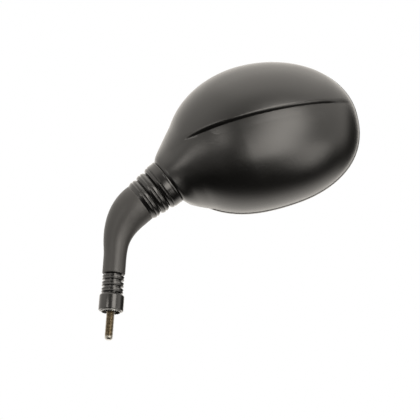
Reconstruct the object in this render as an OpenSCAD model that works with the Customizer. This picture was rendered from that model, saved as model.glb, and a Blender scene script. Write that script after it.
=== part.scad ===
// Motorcycle mirror on a bent stem. Millimetres.
// The origin is on the stud's axis, where the lock nut's toothed face seats. +Z runs up the stud,
// the arm bends towards +X, and the glass faces +Y. The arm and the neck lie in the XZ plane.

/* [Stud and lock nut] */
// Nominal diameter of the stud's thread
stud_d = 6; // [5:1:8]
// Pitch of the stud's thread
thread_pitch = 1; // [0.8:0.05:1.25]
// Length of the stud below the seat
stud_below = 20; // [14:1:30]
// Chamfer at the stud's end
stud_chamfer = 1.1; // [0.5:0.1:1.5]
// Diameter of the stud's plain shank, above the thread
shank_d = 8; // [7:0.5:9]
// Length of the plain shank that is held in the arm
shank_hold = 17; // [12:1:20]
// Height at which the thread ends and the shank begins
thread_top = 10; // [8:1:12]
// Lock nut, across its flats
nut_af = 10; // [9:0.5:11]
// Lock nut's height from its toothed face
nut_h = 6; // [5:0.5:7]
// Diameter of the nut's flange
flange_d = 14.2; // [13:0.1:15]
// Thickness of the flange above its teeth
flange_t = 1.3; // [1:0.1:2]
// Number of teeth under the flange
tooth_count = 24; // [16:1:30]
// Height of a tooth
tooth_h = 0.7; // [0.4:0.1:1]

/* [Lower boot] */
// Outer diameter of the cuff
cuff_d = 18.1; // [17.4:0.1:20]
// Height of the cuff's lower rim above the seat
cuff_base = 1.4; // [1:0.1:2]
// Length of the cuff
cuff_len = 12.4; // [11:0.1:13]
// Chamfer on the cuff's shoulder
cuff_chamfer = 1.4; // [0.5:0.1:2]
// Diameter over the lower boot's ribs
lower_rib_d = 16.2; // [15:0.1:17]
// Diameter between the lower boot's ribs
lower_root_d = 13.2; // [12.6:0.1:13.6]
// Number of the lower boot's ribs
lower_ribs = 3; // [2:1:4]
// Share of the bellows' pitch that a rib takes
lower_rib_share = 0.6; // [0.5:0.05:0.8]
// Wall of the lower boot
lower_wall = 1.2; // [1:0.1:1.6]

/* [Arm] */
// Height of the arm's lower end above the seat
arm_base = 28.5; // [26:0.5:32]
// Straight length of the arm, before its bend
arm_straight = 20.7; // [16:0.1:26]
// Radius of the arm's bend
arm_bend_r = 44.8; // [40:0.1:55]
// Angle that the arm turns through
arm_bend = 48.8; // [40:0.1:55]
// Diameter of the arm's lower end
arm_lower_d = 16.6; // [16:0.1:18]
// Diameter of the arm's upper end
arm_upper_d = 29; // [28.6:0.1:32]
// Length of the arm's lower end that hardly tapers
taper_start = 12; // [8:1:16]
// Length at the arm's upper end that hardly tapers
taper_end = 3; // [1:0.5:6]
// Rounding of the arm's two rims
arm_round = 1; // [0.6:0.1:1.4]
// Wall of the arm round the two boots' ends
arm_lip = 1.5; // [1.2:0.1:1.6]
// Depth of the recess that holds the lower boot's end
lower_recess = 4; // [3:0.5:5]
// Depth of the recess that holds the upper boot's end
upper_recess = 4; // [3:0.5:5]

/* [Ball joint] */
// Diameter of the ball
ball_d = 14; // [13:0.5:14.5]
// Distance from the arm's upper rim to the ball's centre
ball_rise = 13.4; // [12.8:0.1:15]
// Distance from the ball's centre to the neck's end face
neck_rise = 12; // [11:0.1:14]
// Diameter of the ball stud's shank
ball_shank_d = 8; // [7:0.1:8.4]
// Length of the ball stud's shank that is held in the arm
ball_shank_hold = 16; // [12:1:18]
// Ball stud's hexagon, across its flats
ball_hex_af = 13; // [12:0.5:14]
// Height of the ball stud's hexagon
ball_hex_h = 4; // [3:0.1:4]
// Thickness of the nylon seat and cup round the ball
seat_t = 1.75; // [1.5:0.05:2]
// Gap between the ball, its seats and the socket
ball_gap = 0.05; // [0.03:0.01:0.08]
// Wall of the snout round the lower seat
snout_wall = 1.75; // [1.5:0.05:2]
// Length of the snout below the ball's centre
snout_below = 7.5; // [7:0.1:8]
// Thickness of the socket's flange
flange_thick = 2.5; // [2:0.1:3]
// Diameter of the socket's flange and of the clamp plate
socket_flange_d = 32; // [31.4:0.1:32.4]
// Thickness of the clamp plate
clamp_plate_t = 2.5; // [2:0.1:3]
// Number of disc springs in the stack
disc_count = 4; // [2:2:6]
// Thickness of one disc spring
disc_t = 0.8; // [0.6:0.05:0.9]
// Height of a disc spring's cone, without its thickness
disc_cone = 0.55; // [0.4:0.05:0.7]
// Number of clamp screws
clamp_screws = 3; // [3:1:4]
// Diameter of the clamp screws
clamp_screw_d = 3; // [2.6:0.1:3]
// Radius of the circle that the clamp screws stand on
clamp_screw_r = 13.3; // [13.2:0.1:13.4]
// Diameter of the clamp screws' heads
clamp_head_d = 5; // [4.6:0.1:5]
// Thickness of the washers under the clamp screws
clamp_washer_t = 0.5; // [0.4:0.1:0.8]

/* [Upper boot] */
// Outer diameter of the collar
collar_d = 35.2; // [34.6:0.1:36]
// Length of the collar
collar_len = 9; // [8:0.1:9.5]
// Diameter over the convolution next to the collar
upper_rib_d = 33; // [32:0.1:34]
// Diameter over the convolution next to the arm
lower_crest_d = 31.4; // [31:0.1:33]
// Diameter at the bottom of the grooves
groove_d = 27; // [26.8:0.1:28]
// Wall of the upper boot
upper_wall = 1.6; // [1.4:0.1:1.8]

/* [Housing shell] */
// Rise of the housing's long axis above the horizontal
head_rise = 17.7; // [10:0.1:25]
// Angle that the glass leans up from facing straight along +Y
head_lean = 9.5; // [4:0.1:16]
// Turn of the housing about the vertical
head_turn = 1.1; // [0:0.1:3]
// From the neck's centre to the housing's centre, along the long axis
head_along = 70.5; // [69:0.1:72]
// From the neck's centre to the housing's centre, across the long axis
head_across = 16.6; // [15:0.1:18]
// From the rim's plane to the neck's centre
neck_level = 20; // [19.6:0.1:22]
// Half length of the rim, on the far side
far_half = 75; // [72:0.5:78]
// Half length of the rim, on the neck's side
near_half = 67; // [66:0.5:67.5]
// Half width of the rim, on the upper side
upper_half = 55.2; // [52:0.1:57]
// Half width of the rim, on the lower side
lower_half = 53.3; // [50:0.1:55]
// Squareness of the rim's upper half, where 2 is an ellipse
upper_square = 1.95; // [1.9:0.01:2.1]
// Squareness of the rim's lower half
lower_square = 2.2; // [2:0.01:2.3]
// Depth of the housing from its rim to the top of its back
shell_depth = 50; // [45:0.5:56]
// Wall of the shell
shell_wall = 3; // [2.8:0.1:3.4]
// Diameter of the shell's neck
neck_d = 34.9; // [34.6:0.1:36]
// Thickness of the floor in the neck, which the socket is screwed to
neck_floor = 4; // [3:0.1:5]
// Depth of the step at the crease
crease_step = 2.6; // [1:0.1:3]
// Width of the sloping face below the crease
crease_face = 1.4; // [1:0.1:2.5]
// Height of the crease above the long axis
crease_height = 14; // [11:0.1:18]
// Length over which the crease's arch would fall to the long axis
crease_span = 95; // [90:1:110]
// Place along the long axis where the crease is highest
crease_peak = 4; // [0:1:8]
// Place along the long axis of the crease's pointed end
crease_start = -49; // [-52:1:-44]

/* [Glass and rim] */
// Width of the rim trim's ledge, seen past the shell
trim_ledge = 1.2; // [0.8:0.1:1.4]
// Wall of the rim trim
trim_wall = 2; // [1.8:0.1:2.2]
// Width of the rim trim's lip over the glass
trim_lip = 2.4; // [2:0.1:3]
// Thickness of the rim trim's lip
trim_lip_t = 1.6; // [1.2:0.1:2]
// Thickness of the glass
glass_t = 2; // [1.6:0.1:2.4]
// Radius of the convex glass
glass_radius = 1300; // [1200:50:1600]
// Thickness of the foam pad at its edge
pad_t = 1; // [0.8:0.1:1.6]
// Thickness of the backing plate
plate_t = 1.8; // [1.6:0.1:2.4]
// Diameter of the backing plate's screws
plate_screw_d = 3; // [2.6:0.1:3.2]
// Outer diameter of the bosses for the backing plate's screws
boss_d = 7; // [6.6:0.1:8]
// Height of those bosses
boss_h = 6; // [5:0.5:6.5]

/* [Hidden] */
$fn = 72;

// Clearance between fixed pieces, so that their walls don't share a surface
fit_gap = 0.1;
// Gap between soft pieces and their neighbours
soft_gap = 0.3;
// Overlap that lets a cut run past a face
past = 1;
// Smallest share of a shape's own size, used to join outlines
eps = 0.01;

black = [0.13, 0.13, 0.13];
rubber = [0.09, 0.09, 0.09];
steel = [0.75, 0.75, 0.76];
brass_thread = [0.62, 0.53, 0.36];
nylon = [0.88, 0.86, 0.80];

// Smooth step from 0 to 1 as x goes from a to b
function smooth(a, b, x) = let (s = min(1, max(0, (x - a) / (b - a)))) s * s * (3 - 2 * s);
function mix(a, b, s) = a * (1 - s) + b * s;
// Half an ellipse as (radius, height) points: one rounded rib round an axis
function rib(middle, half_h, root_r, crest_r, steps = 10) = [
    for (i = [0 : steps]) let (a = 180 * i / steps)
        [root_r + (crest_r - root_r) * sin(a), middle - half_h * cos(a)]
];
// Triangles between the rings of points of a tube, with its two ends closed
function tube_faces(rings, around) = concat(
    [[for (j = [0 : around - 1]) j]],
    [for (i = [0 : rings - 2], j = [0 : around - 1]) let (k = (j + 1) % around)
        [i * around + j, (i + 1) * around + j, i * around + k]],
    [for (i = [0 : rings - 2], j = [0 : around - 1]) let (k = (j + 1) % around)
        [i * around + k, (i + 1) * around + j, (i + 1) * around + k]],
    [[for (j = [around - 1 : -1 : 0]) (rings - 1) * around + j]]
);
function flat_list(lists) = [for (l = lists) each l];

// The frames: along the arm's bend, at the ball, and at the middle of the rim
arm_end_x = arm_bend_r * (1 - cos(arm_bend));
arm_end_z = arm_base + arm_straight + arm_bend_r * sin(arm_bend);
neck_dir = [sin(arm_bend), 0, cos(arm_bend)];
ball_centre = [arm_end_x, 0, arm_end_z] + ball_rise * neck_dir;
neck_centre = ball_centre + neck_rise * neck_dir;
head_angles = [90 + head_lean, -head_rise, head_turn];
long_dir = [
    cos(head_rise) * cos(head_turn),
    cos(head_rise) * sin(head_turn),
    sin(head_rise)
];
function turned_y(a) = [
    cos(a[2]) * sin(a[1]) * sin(a[0]) - sin(a[2]) * cos(a[0]),
    sin(a[2]) * sin(a[1]) * sin(a[0]) + cos(a[2]) * cos(a[0]),
    cos(a[1]) * sin(a[0])
];
across_dir = turned_y(head_angles);
back_dir = cross(long_dir, across_dir);
head_origin = neck_centre + head_along * long_dir + head_across * across_dir
    - neck_level * back_dir;

module at_ball() {
    translate(ball_centre) rotate([0, arm_bend, 0]) children();
}
module at_head() {
    translate(head_origin) rotate(head_angles) children();
}

// Stud and nut. Where the nut's thread holds the stud's, both are plain at the pitch diameter
engaged_r = stud_d / 2 - 0.325 * thread_pitch;
nut_bore_d = 2 * (engaged_r + fit_gap);
shank_top = arm_base + shank_hold;
// Lower boot
cuff_bore_r = flange_d / 2 + soft_gap;
cuff_top = cuff_base + cuff_len;
cuff_floor = nut_h + soft_gap + 1;
lower_plug_r = arm_lower_d / 2 - arm_lip - fit_gap;
lower_pitch = (arm_base - cuff_top) / (lower_ribs + 1 / 3);
lower_boot_top = arm_base + lower_recess - fit_gap;
// Upper boot, in heights from the ball's centre
arm_rim = -ball_rise;
upper_plug_r = arm_upper_d / 2 - arm_lip - fit_gap;
upper_boot_foot = arm_rim - upper_recess + fit_gap;
collar_top = neck_rise - 0.2;
collar_foot = collar_top - collar_len;
bellows_foot = arm_rim + 0.9;
fold_h = (collar_foot - bellows_foot) / 2;
// Ball joint, in heights from the ball's centre
ball_r = ball_d / 2;
seat_in = ball_r + ball_gap;
seat_out = seat_in + seat_t;
pocket_r = seat_out + ball_gap;
bore_r = pocket_r + 0.25;
snout_r = bore_r + snout_wall;
seat_foot = -5.2;
seat_top = -0.8;
cup_foot = 2.4;
cup_top = 6.6;
ring_foot = 4.6;
ring_top = 8.6;
floor_level = neck_rise + neck_floor;
flange_top = floor_level + flange_thick;
discs_top = ring_top + disc_count * (disc_t + disc_cone);
clamp_top = flange_top + clamp_plate_t;
socket_flange_r = socket_flange_d / 2;
hex_level = arm_rim - upper_recess;
neck_bore_r = snout_r + 0.2;
seat_bore_r = socket_flange_r + 0.4;
// Height of the clamp screws' ends above the neck's end face
screw_foot = 0.8;

// A solid turned from an outline that is given as (radius, height) points
module turned(points) {
    rotate_extrude() polygon(points);
}

module threaded_stud() {
    stud_r = stud_d / 2;
    color(brass_thread) turned([
        [0, -stud_below],
        [stud_r - stud_chamfer, -stud_below],
        [stud_r, -stud_below + stud_chamfer],
        [stud_r, 0],
        [engaged_r, eps],
        [engaged_r, nut_h + fit_gap],
        [stud_r, nut_h + fit_gap + 0.3],
        [stud_r, thread_top],
        [shank_d / 2, thread_top + 0.8],
        [shank_d / 2, shank_top - 0.8],
        [shank_d / 2 - 0.8, shank_top],
        [0, shank_top]
    ]);
}

// One tooth under the flange: a saw tooth that runs outwards
module nut_tooth() {
    pitch = 180 * flange_d / 2 / tooth_count * PI / 180;
    inner = stud_d / 2 + 0.9;
    outer = flange_d / 2 - 0.4;
    translate([inner, 0, tooth_h + eps]) rotate([90, 0, 90]) linear_extrude(outer - inner)
        polygon([[-pitch * 0.45, 0], [pitch * 0.45, 0], [pitch * 0.3, fit_gap - tooth_h - eps]]);
}

module lock_nut() {
    cone_top = tooth_h + flange_t + 1.2;
    color(steel) difference() {
        union() {
            intersection() {
                translate([0, 0, tooth_h]) cylinder(d = nut_af / cos(30), h = nut_h - tooth_h, $fn = 6);
                turned([
                    [0, 0], [nut_af * 0.62, 0], [nut_af * 0.62, nut_h - 0.7],
                    [nut_af * 0.5, nut_h], [0, nut_h]
                ]);
            }
            turned([
                [0, tooth_h], [flange_d / 2 - 0.3, tooth_h], [flange_d / 2, tooth_h + 0.3],
                [flange_d / 2, tooth_h + flange_t], [nut_af / 2, cone_top], [0, cone_top]
            ]);
            for (i = [0 : tooth_count - 1]) rotate([0, 0, 360 * i / tooth_count]) nut_tooth();
        }
        translate([0, 0, -past]) cylinder(d = nut_bore_d, h = nut_h + 2 * past);
    }
}

module lower_boot() {
    rib_half = lower_pitch * lower_rib_share / 2;
    root_r = lower_root_d / 2;
    crest_r = lower_rib_d / 2;
    cuff_r = cuff_d / 2;
    first = cuff_top + lower_pitch * 0.5;
    outer = flat_list([
        for (n = [0 : lower_ribs - 1]) rib(first + n * lower_pitch, rib_half, root_r, crest_r, 8)
    ]);
    inner = flat_list([
        for (n = [lower_ribs - 1 : -1 : 0]) let (middle = first + n * lower_pitch) [
            [root_r - lower_wall, middle + rib_half],
            [crest_r - lower_wall, middle],
            [root_r - lower_wall, middle - rib_half]
        ]
    ]);
    color(rubber) turned(concat(
        [
            [cuff_bore_r, cuff_base],
            [cuff_r - 0.4, cuff_base],
            [cuff_r, cuff_base + 0.4],
            [cuff_r, cuff_top - cuff_chamfer],
            [cuff_r - cuff_chamfer * 0.4, cuff_top - cuff_chamfer * 0.4],
            [cuff_r - cuff_chamfer, cuff_top],
            [root_r, cuff_top]
        ],
        outer,
        [
            [root_r, arm_base - 0.5],
            [lower_plug_r, arm_base],
            [lower_plug_r, lower_boot_top],
            [root_r - lower_wall, lower_boot_top]
        ],
        inner,
        [
            [root_r - lower_wall, cuff_floor],
            [cuff_bore_r, cuff_floor]
        ]
    ));
}

// The arm's skin: rings along a straight run and a bend, with a taper between them
arm_length = arm_straight + arm_bend_r * arm_bend * PI / 180;
arm_around = 48;
arm_stations = concat(
    [0, 0.3, 1],
    [for (i = [1 : 6]) 1 + (arm_straight / arm_round - 1) * i / 6],
    [for (i = [1 : 16]) (arm_straight + (arm_length - arm_straight - arm_round) * i / 16) / arm_round],
    [(arm_length - 0.3 * arm_round) / arm_round, arm_length / arm_round]
) * arm_round;
function arm_radius(s) =
    let (
        edge = min(s, arm_length - s),
        lift = edge >= arm_round ? 0 : arm_round - sqrt(edge * (2 * arm_round - edge))
    )
    mix(arm_lower_d, arm_upper_d, smooth(taper_start, arm_length - taper_end, s)) / 2 - 0.6 * lift;
function arm_turn(s) = max(0, s - arm_straight) / arm_bend_r * 180 / PI;
function arm_point(s) = [
    arm_bend_r * (1 - cos(arm_turn(s))),
    0,
    arm_base + min(s, arm_straight) + arm_bend_r * sin(arm_turn(s))
];
function arm_ring(s) = let (r = arm_radius(s), a = arm_turn(s)) [
    for (j = [0 : arm_around - 1]) let (b = -360 * j / arm_around)
        arm_point(s) + r * [cos(b) * cos(a), sin(b), -cos(b) * sin(a)]
];

module arm() {
    color(black) difference() {
        polyhedron(
            points = flat_list([for (s = arm_stations) arm_ring(s)]),
            faces = tube_faces(len(arm_stations), arm_around),
            convexity = 4
        );
        translate([0, 0, arm_base - past])
            cylinder(r = lower_plug_r + fit_gap, h = lower_recess + past);
        translate([0, 0, arm_base])
            cylinder(r = shank_d / 2 + fit_gap, h = shank_hold + 0.5);
        at_ball() translate([0, 0, hex_level])
            cylinder(r = upper_plug_r + fit_gap, h = upper_recess + past);
        at_ball() translate([0, 0, hex_level - ball_shank_hold - 0.5])
            cylinder(r = ball_shank_d / 2 + fit_gap, h = ball_shank_hold + past);
    }
}

module upper_boot() {
    groove_r = groove_d / 2;
    collar_r = collar_d / 2;
    crest_a = upper_rib_d / 2;
    crest_b = lower_crest_d / 2;
    snout_hold = snout_r + soft_gap;
    hollow_r = groove_r - upper_wall;
    middle_a = collar_foot - fold_h * 0.5;
    middle_b = collar_foot - fold_h * 1.5;
    color(rubber) at_ball() turned(concat(
        [
            [hollow_r, upper_boot_foot],
            [upper_plug_r, upper_boot_foot],
            [upper_plug_r, arm_rim],
            [groove_r, bellows_foot - 0.4]
        ],
        rib(middle_b, fold_h * 0.46, groove_r, crest_b, 12),
        rib(middle_a, fold_h * 0.46, groove_r, crest_a, 12),
        [
            [groove_r, collar_foot],
            [collar_r - 1.2, collar_foot + 0.2],
            [collar_r - 0.35, collar_foot + 0.8],
            [collar_r, collar_foot + 2],
            [collar_r, collar_top - 0.5],
            [collar_r - 0.15, collar_top - 0.15],
            [collar_r - 0.5, collar_top],
            [snout_hold, collar_top],
            [snout_hold, collar_top - 3],
            [hollow_r + 1, collar_top - 3],
            [hollow_r + 1, collar_foot + 2],
            [hollow_r, collar_foot],
            [crest_a - upper_wall - 0.6, middle_a],
            [hollow_r, (middle_a + middle_b) / 2],
            [crest_b - upper_wall - 0.6, middle_b],
            [hollow_r, bellows_foot]
        ]
    ));
}

module ball_stud() {
    flat_top = ball_r * 0.93;
    color(steel) at_ball() union() {
        rotate_extrude() intersection() {
            circle(r = ball_r);
            translate([0, -ball_r]) square([ball_r, ball_r + flat_top]);
        }
        translate([0, 0, hex_level]) cylinder(d = ball_shank_d, h = -hex_level - ball_r * 0.5);
        translate([0, 0, hex_level]) cylinder(d = ball_hex_af / cos(30), h = ball_hex_h, $fn = 6);
        translate([0, 0, hex_level - ball_shank_hold]) cylinder(d = ball_shank_d, h = ball_shank_hold);
    }
}

// A zone of the nylon shell round the ball, between two heights
module seat_zone(low, high) {
    rotate_extrude() intersection() {
        difference() {
            circle(r = seat_out, $fn = 120);
            circle(r = seat_in, $fn = 120);
        }
        translate([0, low]) square([seat_out + past, high - low]);
    }
}

module ball_seat() {
    color(nylon) at_ball() seat_zone(seat_foot, seat_top);
}

module ball_cup() {
    color(nylon) at_ball() seat_zone(cup_foot, cup_top);
}

module thrust_ring() {
    color(steel) at_ball() rotate_extrude() difference() {
        translate([ball_shank_d / 2, ring_foot])
            square([pocket_r - 0.1 - ball_shank_d / 2, ring_top - ring_foot]);
        circle(r = pocket_r, $fn = 120);
    }
}

// The discs lie face to face in pairs, with their cones turned in and out
module disc_springs() {
    inner = ball_shank_d / 2 + 0.3;
    outer = pocket_r - 0.2;
    step = disc_t + disc_cone;
    color(steel) at_ball() for (n = [0 : disc_count - 1]) {
        low = n % 2 == 0 ? disc_cone : 0;
        high = n % 2 == 0 ? 0 : disc_cone;
        foot = ring_top + n * step + 0.01;
        turned([
            [inner, foot + low], [outer, foot + high],
            [outer, foot + high + disc_t - 0.02], [inner, foot + low + disc_t - 0.02]
        ]);
    }
}

module clamp_holes(d, low, high) {
    for (n = [0 : clamp_screws - 1]) rotate([0, 0, 360 * n / clamp_screws])
        translate([clamp_screw_r, 0, low]) cylinder(d = d, h = high - low);
}

module ball_socket() {
    mouth_level = -5;
    mouth_r = sqrt(pocket_r * pocket_r - mouth_level * mouth_level);
    color(black) at_ball() difference() {
        rotate_extrude() difference() {
            union() {
                translate([0, -snout_below]) square([snout_r, flange_top + snout_below]);
                translate([0, floor_level]) square([socket_flange_r, flange_thick]);
            }
            intersection() {
                circle(r = pocket_r, $fn = 120);
                translate([0, mouth_level]) square([bore_r, -mouth_level + past]);
            }
            polygon([
                [0, mouth_level + eps], [mouth_r, mouth_level + eps],
                [mouth_r + 0.9, -snout_below - eps], [0, -snout_below - eps]
            ]);
            square([bore_r, flange_top + past]);
        }
        clamp_holes(clamp_screw_d + 2 * fit_gap, floor_level - past, flange_top + past);
    }
}

module clamp_plate() {
    color(steel) at_ball() difference() {
        turned([
            [3, discs_top],
            [bore_r - 0.3, discs_top],
            [bore_r - 0.3, flange_top],
            [socket_flange_r, flange_top],
            [socket_flange_r, clamp_top],
            [3, clamp_top]
        ]);
        clamp_holes(clamp_screw_d + 2 * fit_gap, flange_top - past, clamp_top + past);
    }
}

module clamp_washers() {
    color(steel) at_ball() difference() {
        clamp_holes(clamp_head_d + 0.2, clamp_top, clamp_top + clamp_washer_t);
        clamp_holes(clamp_screw_d + 2 * fit_gap, clamp_top - past, clamp_top + past);
    }
}

module clamp_screws() {
    head_foot = clamp_top + clamp_washer_t;
    foot = neck_rise + screw_foot;
    color(steel) at_ball() for (n = [0 : clamp_screws - 1])
        rotate([0, 0, 360 * n / clamp_screws]) translate([clamp_screw_r, 0, 0]) difference() {
            union() {
                translate([0, 0, foot]) cylinder(d = clamp_screw_d, h = head_foot - foot);
                translate([0, 0, head_foot]) cylinder(d = clamp_head_d, h = 2.2);
            }
            translate([0, 0, head_foot + 1]) cylinder(d = 2.4, h = 2.2, $fn = 6);
        }
}

// The rim's outline: four quarters that meet smoothly, each with its own half length and half width
function rim_r(a, inset) =
    let (
        half_l = (cos(a) > 0 ? far_half : near_half) - inset,
        half_w = (sin(a) > 0 ? upper_half : lower_half) - inset,
        power = sin(a) > 0 ? upper_square : lower_square
    )
    pow(pow(abs(cos(a)) / half_l, power) + pow(abs(sin(a)) / half_w, power), -1 / power);
function rim_point(a, inset) = rim_r(a, inset) * [cos(a), sin(a)];
rim_steps = 96;
module rim_area(inset) {
    polygon([for (i = [0 : rim_steps - 1]) rim_point(360 * i / rim_steps, inset)]);
}

// Places of the backing plate's screws, in bosses that grow from the side of the shell's wall
screw_turns = [35, 145, 235, 325];
function screw_spot(a) = flat3(rim_point(a, trim_ledge + shell_wall + boss_d / 2 - 1.3));
boss_foot = 0.05;

// The shell's skin: stations fan out from the neck's end face to the far end of the rim
neck_along = [
    neck_dir * long_dir,
    neck_dir * across_dir,
    neck_dir * back_dir
];
neck_mid = [-head_along, -head_across, neck_level];
neck_side = [-neck_along[1], neck_along[0], 0] / norm([neck_along[0], neck_along[1]]);
neck_back = cross(neck_along, neck_side);
neck_r = neck_d / 2;
// The neck is solid round its bore until it has run this far past the rim's near end
neck_run = 11.5;
seat_bore_h = (head_along - near_half) / neck_along[0] + neck_run;
// Angles round the rim: the upper run ends at the neck's top, the lower one at its bottom
upper_from = 180;
lower_from = 206;
last_turn = 176;
flare_turn = 22;
open_turn = 14;
neck_turns = [for (share = [0, 0.1, 0.2, 0.33, 0.47, 0.62, 0.8, 1]) open_turn * share];
body_steps = 24;
body_turn = open_turn + 0.6;
shell_turns = concat(neck_turns, [
    for (i = [0 : body_steps]) body_turn + (last_turn - body_turn) * sin(90 * i / body_steps)
]);
solid_ends = len(neck_turns);
function flare(turn) = pow(max(0, 1 - turn / flare_turn), 1.25);
function flat3(p) = [p[0], p[1], 0];
function upper_edge(turn) =
    flat3(rim_point(upper_from - turn, trim_ledge))
    + flare(turn) * (flat3(neck_mid) + neck_r * neck_side - flat3(rim_point(upper_from, trim_ledge)));
function lower_edge(turn) =
    let (a = lower_from + turn * (360 - lower_from) / 180)
    flat3(rim_point(a, trim_ledge))
    + flare(turn) * (flat3(neck_mid) - neck_r * neck_side - flat3(rim_point(lower_from, trim_ledge)));
function back_height(x) =
    let (peak = -8)
    x < peak
        ? shell_depth - (shell_depth - neck_level - neck_r)
            * pow((peak - x) / (peak + head_along), 2.2)
        : shell_depth * sqrt(max(0, 1 - pow((x - peak) / (far_half - trim_ledge - peak), 2.1)));
function crease_y(x) = crease_height * (1 - pow((x - crease_peak) / crease_span, 2));
function crease_depth(x) =
    crease_step * smooth(crease_start, crease_start + 16, x)
    * (1 - smooth(far_half * 0.72, far_half - 1, x));

upper_steps = 8;
lower_steps = 14;
front_steps = 20;
// One station: its middle, its direction across, its half width, and where the crease cuts it
function station(turn, inset) =
    let (
        u = upper_edge(turn),
        l = lower_edge(turn),
        mid = (u + l) / 2,
        half = norm(u - l) / 2 - inset,
        side = (u - l) / norm(u - l),
        first = (crease_y(mid[0]) - mid[1]) / side[1],
        cut = (crease_y(mid[0] + side[0] * first) - mid[1]) / side[1]
    )
    [mid, side, half, min(0.9, max(-0.9, cut / half))];
// A point on the back's arc, where a runs from 0 at the upper edge to 180 at the lower edge
function back_point(turn, a, inset, sink) =
    let (
        s = station(turn, inset),
        open = smooth(0, open_turn, turn),
        level = neck_level * (1 - open),
        up = mix(neck_back, [0, 0, 1], open),
        lift = (back_height(s[0][0]) - inset - level) * sin(a) - sink
    )
    s[0] + s[1] * s[2] * cos(a) + [0, 0, level] + up * lift;
// A point on the neck's front, which runs down from the round neck to lie flat in the rim's plane
function front_point(turn, a) =
    let (
        s = station(turn, 0),
        open = smooth(0, open_turn, turn),
        closed = smooth(0, open_turn * 0.45, turn),
        level = neck_level * (1 - open),
        up = mix(neck_back, [0, 0, 1], open),
        drop = level - (neck_level - neck_r) * (1 - closed)
    )
    s[0] + s[1] * s[2] * cos(a) + [0, 0, level] - up * drop * pow(sin(a), mix(1, 0.15, closed));
function shell_loop(turn, hollow) =
    let (
        s = station(turn, 0),
        cut_a = acos(s[3]),
        foot_a = acos(max(-0.95, s[3] - crease_face / s[2])),
        depth = crease_depth(s[0][0])
    )
    concat(
        [for (i = [0 : upper_steps]) back_point(turn, cut_a * i / upper_steps, 0, 0)],
        [for (i = [0 : lower_steps]) let (a = foot_a + (180 - foot_a) * i / lower_steps)
            back_point(turn, a, 0, depth * pow(1 - i / lower_steps, 2))],
        hollow
            ? [for (i = [0 : front_steps]) back_point(turn, 180 - 180 * i / front_steps, shell_wall, 0)]
            : [for (i = [0 : front_steps]) front_point(turn, 180 - 180 * (i + 0.5) / (front_steps + 1))]
    );
shell_around = upper_steps + lower_steps + front_steps + 3;

module housing_shell() {
    count = len(shell_turns);
    loops = [for (i = [0 : count - 1])
        shell_loop(shell_turns[i], i >= solid_ends && i < count - 2)];
    color(black) difference() {
        at_head() union() {
            polyhedron(
                points = flat_list(loops),
                faces = tube_faces(count, shell_around),
                convexity = 8
            );
            for (a = screw_turns) translate(screw_spot(a)) translate([0, 0, boss_foot])
                cylinder(d = boss_d, h = boss_h - boss_foot);
        }
        at_ball() neck_bores();
        at_head() for (a = screw_turns) translate(screw_spot(a)) translate([0, 0, -past])
            cylinder(d = plate_screw_d + fit_gap, h = boss_h - 0.5 + past);
    }
}

// The snout passes the narrow bore, the wide one seats its flange, and the clamp screws bite the floor
module neck_bores() {
    translate([0, 0, neck_rise - past]) cylinder(r = neck_bore_r, h = neck_floor + 2 * past);
    translate([0, 0, floor_level]) cylinder(r = seat_bore_r, h = seat_bore_h);
    clamp_holes(clamp_screw_d + fit_gap, neck_rise + screw_foot - 0.2, floor_level + past);
}

// The convex glass bulges forwards by this much from radius 0 to radius r
function bulge(r) = glass_radius - sqrt(glass_radius * glass_radius - r * r);
inner_inset = trim_wall + 0.2;
dome_level = bulge(near_half - inner_inset);
// Levels of the pieces in front of the rim's plane
plate_front = -plate_t;
pad_front = plate_front - pad_t;
glass_front = pad_front - glass_t;
lip_back = glass_front - 0.1;
trim_front = lip_back - dome_level + bulge(lower_half - trim_wall - trim_lip) - trim_lip_t;
screw_head_d = 5.2;
screw_head_t = 1;

// The space behind a convex surface that passes the given level at the rim
module behind_dome(level) {
    reach = max(far_half, near_half) + past;
    steps = 12;
    turned(concat(
        [[0, 40], [0, level - dome_level]],
        [for (i = [1 : steps]) let (r = reach * i / steps) [r, level - dome_level + bulge(r)]],
        [[reach, 40]]
    ));
}

module rim_trim() {
    color(black) at_head() difference() {
        translate([0, 0, trim_front]) linear_extrude(-trim_front) rim_area(0);
        intersection() {
            translate([0, 0, trim_front]) linear_extrude(-trim_front + past) rim_area(trim_wall);
            behind_dome(lip_back);
        }
        translate([0, 0, trim_front - past]) linear_extrude(-trim_front + past)
            rim_area(trim_wall + trim_lip);
    }
}

module backing_plate() {
    color(black) at_head() difference() {
        translate([0, 0, plate_front]) linear_extrude(plate_t) rim_area(inner_inset);
        for (a = screw_turns) translate(screw_spot(a)) {
            translate([0, 0, plate_front - past])
                cylinder(d = plate_screw_d + 2 * fit_gap, h = plate_t + 2 * past);
            translate([0, 0, plate_front - past]) cylinder(d = screw_head_d + 0.4, h = past + screw_head_t);
        }
    }
}

module plate_screws() {
    color(steel) at_head() for (a = screw_turns) translate(screw_spot(a)) union() {
        translate([0, 0, plate_front + 0.1]) cylinder(d = screw_head_d, h = screw_head_t - 0.1);
        translate([0, 0, plate_front + 0.5]) cylinder(d = plate_screw_d, h = boss_h - 1 - plate_front - 0.5);
    }
}

module foam_pad() {
    color("dimgray") at_head() intersection() {
        translate([0, 0, glass_front - 10]) linear_extrude(10 - glass_front + plate_front)
            rim_area(inner_inset);
        behind_dome(pad_front);
    }
}

module mirror_glass() {
    color("lightsteelblue") at_head() difference() {
        intersection() {
            translate([0, 0, glass_front - 10]) linear_extrude(30) rim_area(inner_inset);
            behind_dome(glass_front);
        }
        behind_dome(pad_front);
    }
}

threaded_stud();
lock_nut();
lower_boot();
arm();
upper_boot();
ball_stud();
ball_seat();
ball_cup();
thrust_ring();
disc_springs();
ball_socket();
clamp_plate();
clamp_washers();
clamp_screws();
housing_shell();
rim_trim();
backing_plate();
plate_screws();
foam_pad();
mirror_glass();
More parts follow.
